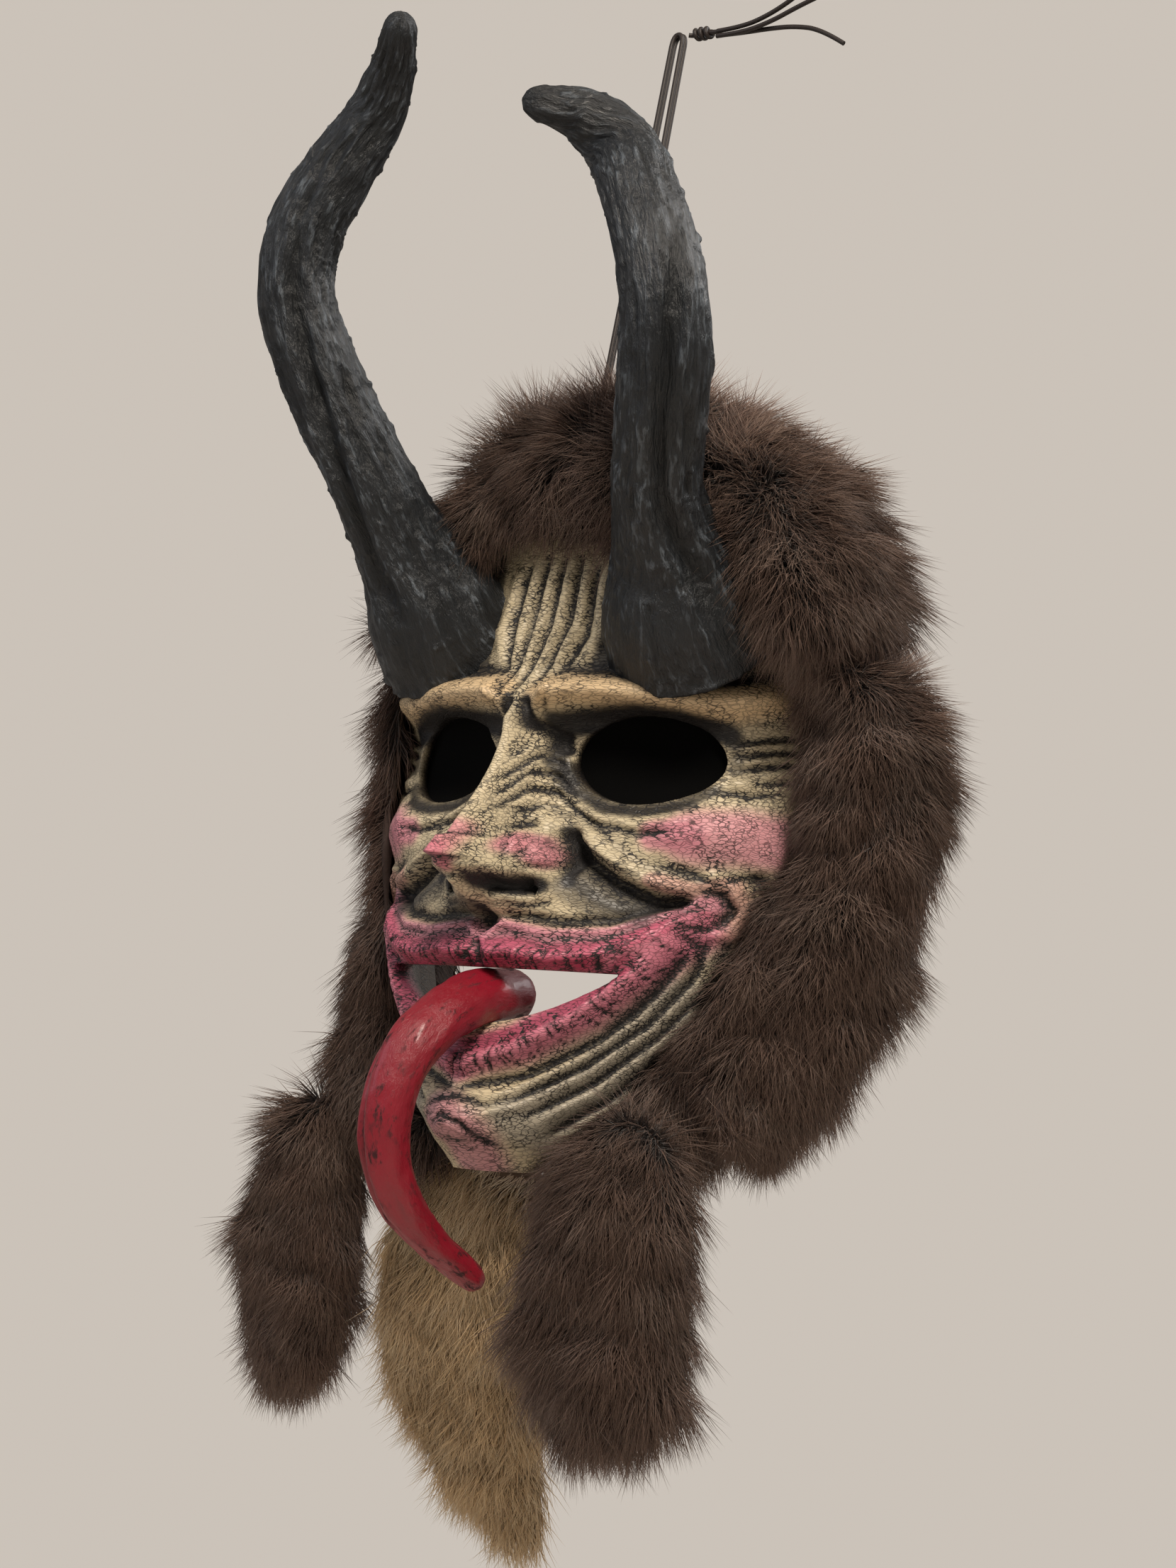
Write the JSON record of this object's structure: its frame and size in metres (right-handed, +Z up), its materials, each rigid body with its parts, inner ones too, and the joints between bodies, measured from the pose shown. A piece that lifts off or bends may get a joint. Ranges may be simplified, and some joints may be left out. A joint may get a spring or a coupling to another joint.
{
  "type": "folk devil mask",
  "caption": "Wall-hung horned folk devil mask: cast resin face shell with long curled horns, a hanging tongue, fur hood, fur lappets, fur beard and a double hanging cord.",
  "frame": {"origin": "point where the hanging cord passes over its nail", "axes": "+Z up, the face looks towards -Y, +X to the viewer's right; the wall lies at y = +8 mm"},
  "size_m": [0.3083, 0.1638, 0.6633],
  "materials": {
    "painted_resin": "hand-painted cast resin, antiqued dark in the grooves",
    "horn_resin": "charcoal painted cast resin with slate dry brushing",
    "tongue_lacquer": "glossy crimson lacquer over cast resin",
    "black_screen": "black mesh cloth",
    "zinc_steel": "bright zinc plated",
    "brown_fur": "dark brown rabbit fur on hide",
    "tan_fur": "pale tan rabbit fur on hide",
    "waxed_cord": "dark brown waxed round cord"
  },
  "bodies": {
    "root": {"face_shell": "painted_resin", "left_horn": "horn_resin", "right_horn": "horn_resin", "tongue": "tongue_lacquer", "left_eye_screen": "black_screen", "right_eye_screen": "black_screen", "horn_screws": "zinc_steel", "horn_washers": "zinc_steel", "tongue_screw": "zinc_steel", "tongue_washer": "zinc_steel", "crown_pelt": "brown_fur", "left_cheek_pelt": "brown_fur", "right_cheek_pelt": "brown_fur", "cord_loop_front": "waxed_cord", "cord_loop_back": "waxed_cord", "cord_knot": "waxed_cord", "cord_tail_long": "waxed_cord", "cord_tail_middle": "waxed_cord", "cord_tail_short": "waxed_cord"},
    "left_lappet": {"left_lappet": "brown_fur"},
    "right_lappet": {"right_lappet": "brown_fur"},
    "beard": {"beard_pelt": "tan_fur"}
  },
  "joints": [
    {"name": "left_lappet_swing", "type": "hinge", "parent": "root", "child": "left_lappet", "pos_m": [-0.1135, -0.058, -0.452], "axis": [-1, 0, 0], "range_deg": [-8, 50]},
    {"name": "right_lappet_swing", "type": "hinge", "parent": "root", "child": "right_lappet", "pos_m": [0.0655, -0.092, -0.452], "axis": [-1, 0, 0], "range_deg": [-8, 50]},
    {"name": "beard_lift", "type": "hinge", "parent": "root", "child": "beard", "pos_m": [-0.018, -0.04, -0.472], "axis": [-1, 0, 0], "range_deg": [0, 10]}
  ]
}
